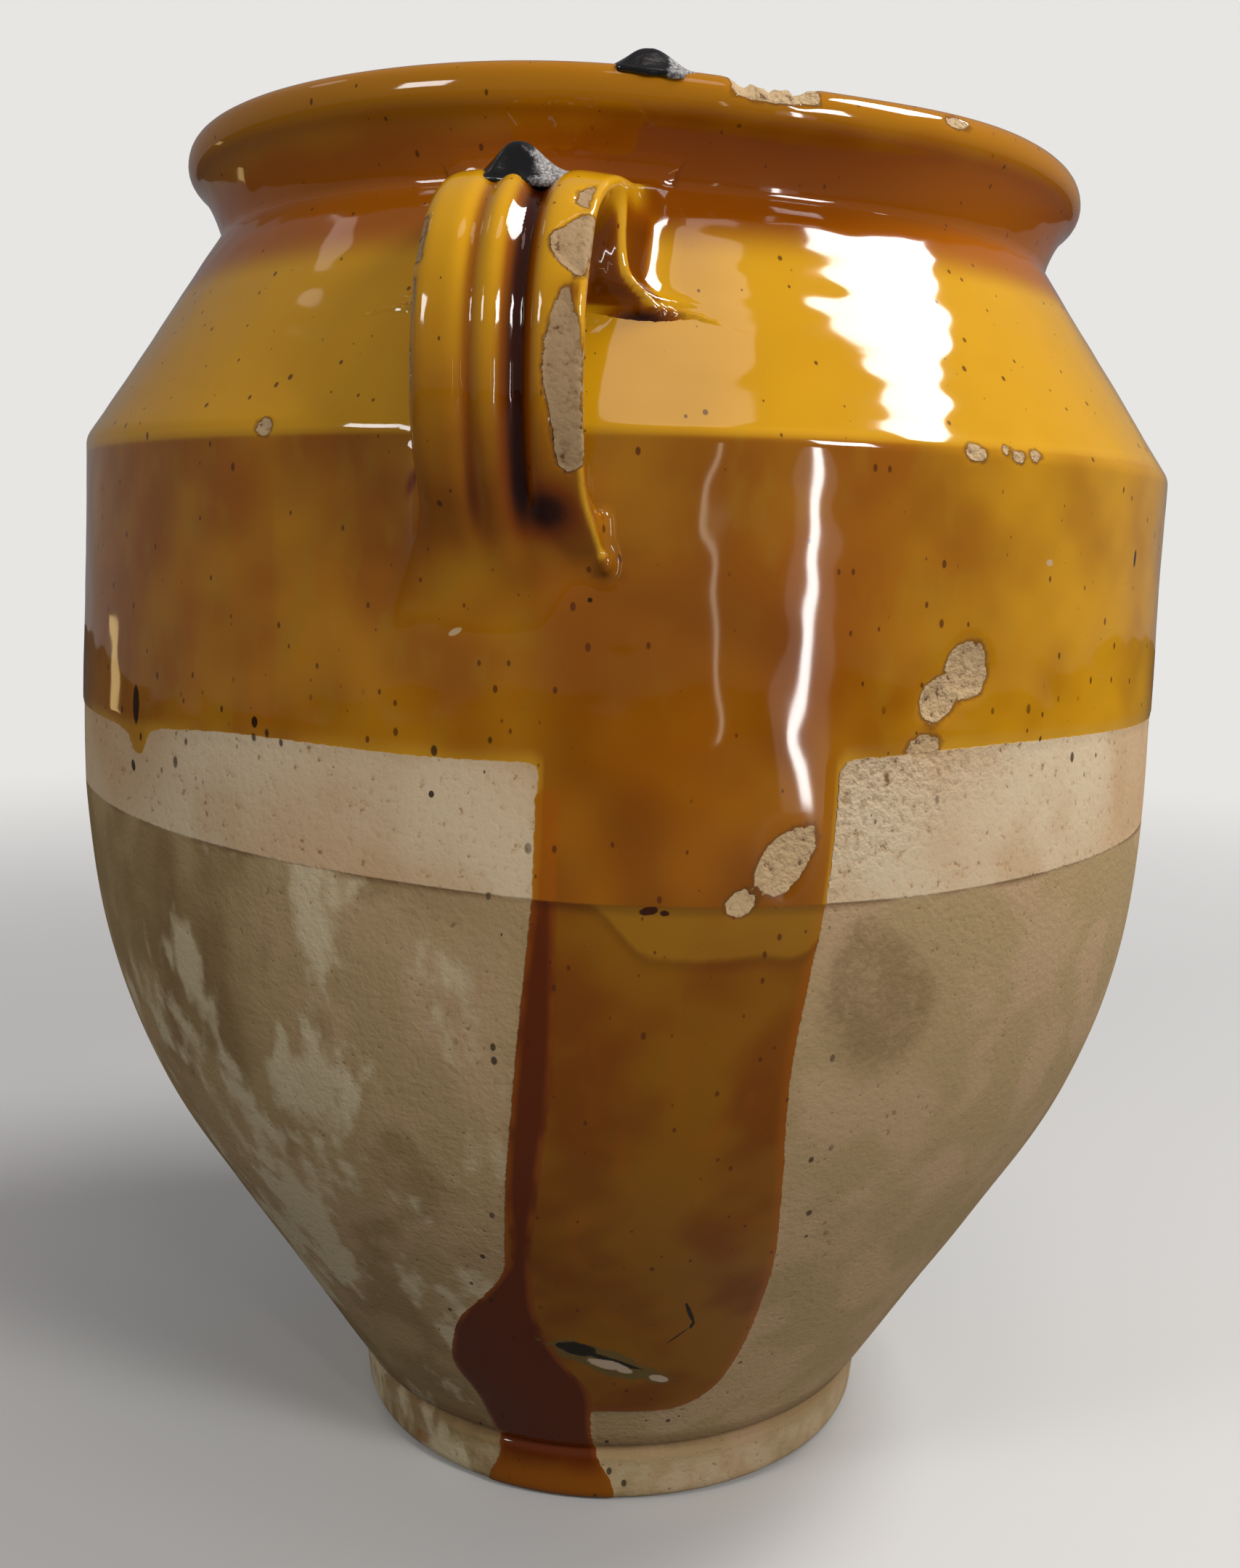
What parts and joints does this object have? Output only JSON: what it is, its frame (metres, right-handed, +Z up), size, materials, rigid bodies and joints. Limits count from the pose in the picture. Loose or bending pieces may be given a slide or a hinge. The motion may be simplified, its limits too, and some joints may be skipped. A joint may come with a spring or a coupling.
{
  "type": "jam pot",
  "caption": "Glazed earthenware preserve jar with a rounded belly, a sloping shoulder, a rolled lip and two ribbed strap handles.",
  "frame": {"origin": "centre of the foot's underside, on the surface that the pot stands on", "axes": "+Z up along the pot's turned axis; the worn handle points to -Y and the second handle to +Y"},
  "size_m": [0.2382, 0.266, 0.2833],
  "materials": {
    "glazed_earthenware": "glossy amber lead glaze above, bare buff clay below"
  },
  "bodies": {
    "root": {"jam_pot": "glazed_earthenware"}
  },
  "joints": []
}
